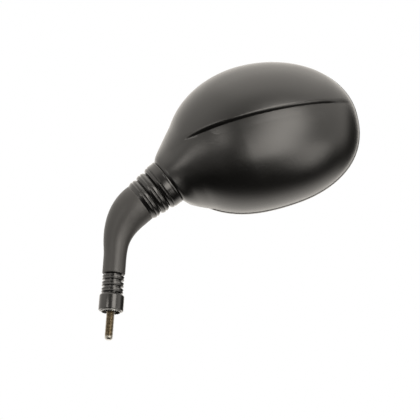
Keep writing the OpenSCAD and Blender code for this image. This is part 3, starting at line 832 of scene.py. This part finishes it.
# %% A material that grows nodes
class Finish:
    def __init__(self, name, slot, **constants):
        self.material = bpy.data.materials.new(name)
        self.material.use_nodes = True
        self.tree = self.material.node_tree
        self.shader = self.tree.nodes["Principled BSDF"]
        self.slot = slot
        for socket, value in constants.items():
            self.shader.inputs[socket.replace("_", " ")].default_value = value

    def node(self, kind, settings=None, inputs=None, output=0):
        made = self.tree.nodes.new("ShaderNode" + kind)
        for key, value in (settings or {}).items():
            setattr(made, key, value)
        for key, value in (inputs or {}).items():
            self.feed(made.inputs[key], value)
        return Value(self, made.outputs[output])

    def feed(self, socket, value):
        if isinstance(value, Value):
            self.tree.links.new(value.socket, socket)
        else:
            socket.default_value = value

    def place(self):
        return self.node("TexCoord", output="Object")

    def noise(self, size_mm, detail=3, roughness=0.5):
        inputs = {"Vector": self.place(), "Scale": 1 / (size_mm * MM)}
        inputs.update({"Detail": detail, "Roughness": roughness})
        return self.node("TexNoise", inputs=inputs)

    def cells(self, size_mm):
        return self.node("TexVoronoi", inputs={"Vector": self.place(), "Scale": 1 / (size_mm * MM)})

    def colour(self, share, low, high):
        return self.node("Mix", {"data_type": "RGBA"}, {0: share, 6: low, 7: high}, output=2)

    def bump(self, height, depth_mm, strength=1.0):
        inputs = {"Height": height, "Distance": depth_mm * MM, "Strength": strength}
        return self.node("Bump", inputs=inputs)

    def set(self, socket, value):
        self.feed(self.shader.inputs[socket], value)

    def on(self, *pieces):
        for piece in pieces:
            piece.data.materials.clear()
            piece.data.materials.append(self.material)
        print(self.material.name, "on", ", ".join(p.name for p in pieces))


def grey(level, warmth=0.0):
    return (level * (1 + warmth), level, level * (1 - warmth), 1)


# %% [markdown]
# ## Moulded black plastic
# The shell and the trim are black plastic from a finely spark-eroded mould. Up close the skin is a
# field of tiny rounded pits, about a third of a millimetre across, on a slightly wavy skin. They
# scatter the highlight, so the plastic looks softly grey where it faces a lamp. Cells give the pits,
# fine noise breaks them up and a coarser noise gives the waves. The plastic itself is nearly black,
# and what shows is the studio in it. Slow noise varies the sheen, as handling and cleaning do, and
# a few specks of dust are paler. The arm is of a greyer and duller plastic than the shell.


# %% Mix the grained plastic
def grained_plastic(name, slot, level, sheen, pit_mm):
    skin = Finish(name, slot, IOR=1.5)
    pits = skin.cells(pit_mm)
    fine = skin.noise(pit_mm * 0.6, detail=2)
    waves = skin.noise(size_mm=1.3, detail=3)
    drift = skin.noise(size_mm=24, detail=4, roughness=0.6)
    specks = skin.noise(size_mm=1.6, detail=5, roughness=0.7).between(0.62, 0.78)
    shade = skin.colour(drift, grey(level * 0.88, 0.03), grey(level * 1.16, 0.05))
    skin.set("Base Color", skin.colour(specks * 0.2, shade, grey(level * 1.9, 0.06)))
    skin.set("Roughness", sheen - 0.05 + 0.1 * drift + 0.06 * fine)
    skin.set("Normal", skin.bump(pits + 0.5 * fine + 1.5 * waves, depth_mm=0.03, strength=0.6))
    return skin


shell_plastic = grained_plastic(
    "grained_shell_plastic", "black_plastic", level=0.0015, sheen=0.3, pit_mm=0.38
)
arm_plastic = grained_plastic(
    "grained_arm_plastic", "arm_plastic", level=0.016, sheen=0.46, pit_mm=0.45
)
shell_plastic.on(shell)
arm_plastic.on(arm_skin)

# %% [markdown]
# The trim is the same plastic from another tool, whose pits are a little finer.

# %% Mix the trim's plastic
trim_plastic = grained_plastic(
    "fine_trim_plastic", "black_plastic", level=0.0015, sheen=0.3, pit_mm=0.3
)
trim_plastic.on(trim_ring)

# %% [markdown]
# ## Rubber
# Moulded rubber is smoother and blacker than the arm's grained plastic, and has a soft shine. A little
# pale dust stays in its grooves, and the crests are rubbed a touch shinier. We know how far each
# point is from the boot's axis, so the crests and grooves can be told apart by that distance: the
# length of the part of the place vector that lies across the axis.


# %% Mix the rubber
def rubber(name, axis_point, axis, groove_mm, crest_mm):
    skin = Finish(name, "rubber", IOR=1.52)
    from_axis = skin.node("VectorMath", {"operation": "SUBTRACT"}, {0: skin.place(), 1: axis_point})
    across = skin.node("VectorMath", {"operation": "CROSS_PRODUCT"}, {0: from_axis, 1: axis})
    distance = skin.node("VectorMath", {"operation": "LENGTH"}, {0: across}, output="Value")
    crest = distance.between(groove_mm * MM, crest_mm * MM)
    bloom = skin.noise(size_mm=3.2, detail=5, roughness=0.65)
    fine = skin.noise(size_mm=0.35, detail=2)
    dust = (1 - crest) * bloom.between(0.4, 0.75)
    body = skin.colour(crest, grey(0.0015), grey(0.003, 0.04))
    skin.set("Base Color", skin.colour(dust * 0.1, body, grey(0.03, 0.08)))
    skin.set("Roughness", 0.26 - 0.05 * crest + 0.05 * bloom)
    skin.set("Normal", skin.bump(fine + bloom * 0.2, depth_mm=0.012, strength=0.5))
    return skin


ball_axis = (tuple(ball_centre * MM), tuple(neck_dir))
stud_axis = ((0, 0, 0), (0, 0, 1))
upper_rubber = rubber("upper_boot_rubber", *ball_axis, groove_mm=13.4, crest_mm=16.2)
lower_rubber = rubber("lower_boot_rubber", *stud_axis, groove_mm=6.5, crest_mm=8.2)
upper_rubber.on(boot_spin, boot_tilt, boot_pan)
lower_rubber.on(lower_sleeve)


# %% [markdown]
# ## Plated steel
# The nut and the joint's own metal parts are steel with a thin coat of zinc: pale, slightly blue and
# cloudy, with fine scratches. All plated steel shares its cloudy gloss and its scratches, and each
# part then gets its own colour.


def plated_steel(name, slot):
    metal = Finish(name, slot, Metallic=1.0)
    cloud = metal.noise(size_mm=2.4, detail=5, roughness=0.65)
    scratches = metal.noise(size_mm=0.25, detail=2)
    metal.set("Roughness", 0.28 + 0.2 * cloud)
    metal.set("Normal", metal.bump(scratches + 0.5 * cloud, depth_mm=0.012, strength=0.5))
    return metal, cloud


zinc, cloud = plated_steel("zinc_plate", "zinc_steel")
cloudy_zinc = zinc.colour(cloud.between(0.3, 0.7), (0.5, 0.51, 0.52, 1), (0.74, 0.74, 0.72, 1))
zinc.set("Base Color", cloudy_zinc)
zinc_nodes = ["ball_stud", "thrust_ring", "disc_springs", "clamp_plate"]
zinc_nodes += ["clamp_washers", "clamp_screws", "plate_screws"]
zinc.on(*[nodes[name] for name in zinc_nodes])

# %% [markdown]
# The stud is yellow passivated, which gives a brown-gold film. It is worn off at the tip, where the
# stud starts into its hole. Height along the stud says where the film ends, and the cloudy noise
# makes that edge uneven.

# %% Mix the yellow film and the worn tip
film_dark, film_pale = (0.11, 0.086, 0.054, 1), (0.21, 0.175, 0.12, 1)
worn_below, film_above, uneven = -17.6 * MM, -16.6 * MM, 0.6 * MM
yellow, cloud = plated_steel("yellow_passivated_stud", "stud_steel")
film = yellow.colour(cloud.between(0.3, 0.7), film_dark, film_pale)
height = yellow.node("SeparateXYZ", inputs={0: yellow.place()}, output="Z")
worn = (height + uneven * cloud).between(worn_below, film_above, 1.0, 0.0)
yellow.set("Base Color", yellow.colour(worn, film, (0.4, 0.39, 0.36, 1)))
yellow.on(stud)

# %% [markdown]
# The lock nut is zinc plated too. All but the toothed edge of its flange lies in the shade of the cuff,
# and that shade is painted into its colour, near black. Distance from the stud's axis tells the two apart.

# %% Mix the nut's zinc, with painted shade under the cuff
zinc_dark, zinc_pale = (0.26, 0.27, 0.28, 1), (0.46, 0.46, 0.44, 1)
painted_shade_r, unshaded_r = 6.5 * MM, 7.2 * MM
nut_zinc, cloud = plated_steel("nut_zinc_painted_shade", "zinc_steel")
off_axis = nut_zinc.node("VectorMath", {"operation": "MULTIPLY"}, {0: nut_zinc.place(), 1: (1, 1, 0)})
radius = nut_zinc.node("VectorMath", {"operation": "LENGTH"}, {0: off_axis}, output="Value")
unshaded = (radius + uneven * nut_zinc.noise(size_mm=1.1, detail=3)).between(painted_shade_r, unshaded_r)
plated = nut_zinc.colour(cloud, zinc_dark, zinc_pale)
# Inside the toothed edge the base colour is a painted shade, near black.
nut_zinc.set("Base Color", nut_zinc.colour(unshaded, grey(0.012, 0.1), plated))
nut_zinc.on(nodes["lock_nut"])

# %% [markdown]
# ## Glass and the hidden pieces
# A mirror is clear glass with a metal film on its back. From outside it behaves as one polished
# metal surface, so that is what it gets, with faint smears that change its gloss by a hair. The
# nylon seats, the foam pad and the backing plate hardly ever show, but each still gets a finish of
# its own, since the housing may be opened or seen from close by.

# %% Mix the glass, nylon and foam
silvered = Finish("silvered_glass", "glass_mirror", Metallic=1.0, IOR=1.52)
smear = silvered.noise(size_mm=38, detail=4, roughness=0.6)
silvered.set("Base Color", silvered.colour(smear, (0.84, 0.87, 0.88, 1), (0.88, 0.9, 0.9, 1)))
silvered.set("Roughness", 0.02 + 0.03 * smear.between(0.45, 0.8))
silvered.on(glass)

nylon = Finish("white_nylon", "white_nylon", IOR=1.53)
flow = nylon.noise(size_mm=6, detail=4)
nylon.set("Base Color", nylon.colour(flow, (0.78, 0.77, 0.7, 1), (0.84, 0.83, 0.78, 1)))
nylon.set("Roughness", 0.35 + 0.12 * flow)
nylon.set("Normal", nylon.bump(nylon.noise(size_mm=0.4, detail=2), depth_mm=0.01, strength=0.5))
nylon.on(nodes["ball_seat"], nodes["ball_cup"])

foam = Finish("foam_pad", "foam")
pores = foam.cells(size_mm=0.7)
foam.set("Base Color", foam.colour(pores, grey(0.05), grey(0.1)))
foam.set("Roughness", 0.8 + 0.15 * pores)
foam.set("Normal", foam.bump(pores, depth_mm=0.2, strength=0.9))
foam.on(nodes["foam_pad"])

# %% Mix the plastic of the plate and the socket
plate_plastic = grained_plastic(
    "backing_plate_plastic", "black_plastic", level=0.03, sheen=0.5, pit_mm=0.5
)
plate_plastic.on(nodes["backing_plate"])
socket_plastic = grained_plastic("socket_plastic", "arm_plastic", level=0.03, sheen=0.4, pit_mm=0.4)
socket_plastic.on(nodes["ball_socket"])

# %% [markdown]
# ## The studio
# A black object on white is drawn by what it reflects. The key box stands near the viewer, to the
# right and a little above, and gives the wide glow on the lower panel. A wide, weak box above greys
# the upper panel. A small one further off on the left lights the neck and the boots, and one low on
# the right lights the lower far edge. A lamp's energy is worked out from its area, so that its
# brightness stays the same when its size changes.


# %% Set up the lamps
warm = (1.0, 0.95, 0.88)


def soft_box(name, direction, distance, width, height, brightness):
    lamp = bpy.data.lights.new(name, "AREA")
    lamp.shape = "RECTANGLE"
    lamp.size = width
    lamp.size_y = height
    lamp.energy = brightness * math.pi * width * height
    lamp.color = warm
    made = bpy.data.objects.new(name, lamp)
    bpy.context.collection.objects.link(made)
    away = direction.normalized()
    made.location = head_origin * MM + away * distance
    made.rotation_mode = "QUATERNION"
    made.rotation_quaternion = away.to_track_quat("Z", "Y")
    return made


key_way = 0.93 * to_viewer + 0.33 * to_right + 0.2 * to_top
top_way = to_top + 0.1 * to_right - 0.15 * to_viewer
left_way = 0.78 * to_viewer + 0.18 * to_top - 0.6 * to_right
right_way = 0.7 * to_right - 0.38 * to_top + 0.6 * to_viewer
key_box = soft_box("key_box", key_way, distance=0.8, width=0.47, height=1.0, brightness=6.2)
top_box = soft_box("top_box", top_way, distance=1.3, width=1.6, height=1.4, brightness=0.8)
left_box = soft_box("left_box", left_way, distance=1.5, width=0.36, height=0.5, brightness=7)
right_box = soft_box("right_box", right_way, distance=0.8, width=0.4, height=0.46, brightness=4)
for box in (key_box, top_box, left_box, right_box):
    print(box.name, round(box.data.energy, 2), "W")

# %% [markdown]
# The floor is pale and far below, since the camera looks slightly upwards and must not dip under it.
# Mirrors and plastic would see the floor as well, so it is kept out of reflections, and the world
# itself says what they see.

# %% Lay the floor
floor_mesh = bpy.data.meshes.new("floor")
reach, floor_z = 6, -1.35
near_side = [(-reach, -reach, floor_z), (reach, -reach, floor_z)]
far_side = [(reach, reach, floor_z), (-reach, reach, floor_z)]
floor_mesh.from_pydata(near_side + far_side, [], [(0, 1, 2, 3)])
floor = bpy.data.objects.new("floor", floor_mesh)
bpy.context.collection.objects.link(floor)
floor_paint = bpy.data.materials.new("pale_floor")
floor_paint.use_nodes = True
floor_shader = floor_paint.node_tree.nodes["Principled BSDF"]
floor_shader.inputs["Base Color"].default_value = grey(0.86)
floor_shader.inputs["Roughness"].default_value = 0.8
floor_mesh.materials.append(floor_paint)
floor.visible_glossy = False
print("floor at", floor_z, "m")

# %% [markdown]
# The world has three answers. The camera sees plain white. Soft daylight for rough surfaces is weak,
# so the lamps do the work. A shiny surface sees a studio: bright above and behind, less bright round
# the viewer, and dark straight below, which draws the deep dark band under the glow. The white
# behind comes back as a pale line along the edges. A black flag behind on the right stops that line
# there, and a grey one on the left softens it.


# %% Start the world, with small helpers for it
world = bpy.data.worlds.new("white_studio")
bpy.context.scene.world = world
world.use_nodes = True
tree = world.node_tree
tree.nodes.clear()


def sky_node(kind, settings=None, inputs=None):
    made = tree.nodes.new("ShaderNode" + kind)
    for key, value in (settings or {}).items():
        setattr(made, key, value)
    for key, value in (inputs or {}).items():
        if isinstance(value, bpy.types.NodeSocket):
            tree.links.new(value, made.inputs[key])
        else:
            made.inputs[key].default_value = value
    return made


path = sky_node("LightPath").outputs
toward = sky_node("TexCoord").outputs["Generated"]


def along(direction, low, high, start, end):
    share = sky_node("VectorMath", {"operation": "DOT_PRODUCT"}, {0: toward, 1: direction.normalized()})
    ramp = {0: share.outputs["Value"], 1: low, 2: high, 3: start, 4: end}
    return sky_node("MapRange", {"interpolation_type": "SMOOTHSTEP"}, ramp).outputs[0]


def combined(operation, first, second):
    return sky_node("Math", {"operation": operation}, {0: first, 1: second}).outputs[0]


def backdrop(colour, strength):
    return sky_node("Background", inputs={"Color": (*colour, 1), "Strength": strength}).outputs[0]


def either(share, first, second):
    return sky_node("MixShader", inputs={0: share, 1: first, 2: second}).outputs[0]


# %% Say what each kind of ray sees
back_way = to_viewer + 0.3 * to_right
right_flag_way = 0.84 * to_right - 0.06 * to_top - 0.54 * to_viewer
left_flag_way = -0.92 * to_right - 0.05 * to_top - 0.38 * to_viewer
above = along(to_top, low=-0.42, high=0.0, start=0.0, end=1.0)
behind = along(back_way, low=0.14, high=-0.38, start=0.0, end=0.95)
around = along(to_viewer, low=0.2, high=0.95, start=2.0, end=0.35)
right_flag = along(right_flag_way, low=0.76, high=0.97, start=1.0, end=0.04)
left_flag = along(left_flag_way, low=0.5, high=0.95, start=1.0, end=0.75)
studio = combined("MAXIMUM", above, behind)
for shade in (right_flag, around, left_flag):
    studio = combined("MULTIPLY", studio, shade)
daylight = 0.12
shiny = combined("MAXIMUM", path["Is Glossy Ray"], path["Is Transmission Ray"])
seen = either(shiny, backdrop(warm, daylight), backdrop(warm, studio))
final = either(path["Is Camera Ray"], seen, backdrop((1, 1, 1), 1.0))
sky_node("OutputWorld", inputs={0: final})
bpy.context.scene.view_settings.view_transform = "Standard"
print("world:", len(tree.nodes), "nodes")
